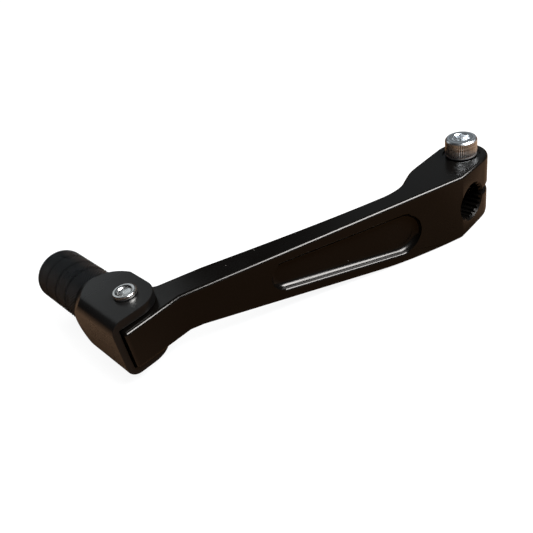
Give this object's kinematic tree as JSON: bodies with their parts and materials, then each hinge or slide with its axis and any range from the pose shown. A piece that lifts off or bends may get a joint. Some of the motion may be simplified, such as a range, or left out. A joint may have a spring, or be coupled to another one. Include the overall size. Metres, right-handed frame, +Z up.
{
  "type": "gear shift lever",
  "caption": "Black motorcycle gear shift lever with a splined clamp boss, a pinch bolt, and a knurled toe peg on a spring-returned folding tip.",
  "frame": {"origin": "centre of the splined bore, on the inner face of the clamp boss", "axes": "+X from the toe end towards the clamp's free end, +Y along the splined bore to the outer side where the toe peg points, +Z up along the pinch bolt towards its head"},
  "size_m": [0.1288, 0.0863, 0.0289],
  "materials": {
    "lever_body": "satin black anodised aluminium",
    "bolt_zinc": "bright zinc plated steel",
    "bracket_body": "satin black anodised aluminium",
    "pin_steel": "bright plated steel",
    "bushing_bronze": "plain bronze",
    "spring_steel": "oiled spring steel",
    "peg_body": "black anodised diamond knurl",
    "screw_zinc": "zinc plated steel"
  },
  "bodies": {
    "lever": {"lever_arm": "lever_body", "pinch_bolt": "bolt_zinc", "pivot_bushing": "bushing_bronze", "return_spring": "spring_steel"},
    "tip": {"tip_bracket": "bracket_body", "toe_peg": "peg_body", "peg_screw": "screw_zinc", "pivot_pin": "pin_steel"}
  },
  "joints": [
    {"name": "tip_fold", "type": "hinge", "parent": "lever", "child": "tip", "pos_m": [-0.1026, 0.0437, 0], "axis": [0, 0, 1], "range_deg": [-50, 0], "stiffness_Nm_per_rad": 0.25, "springref_deg": 28.65, "deforming": ["return_spring"]}
  ]
}
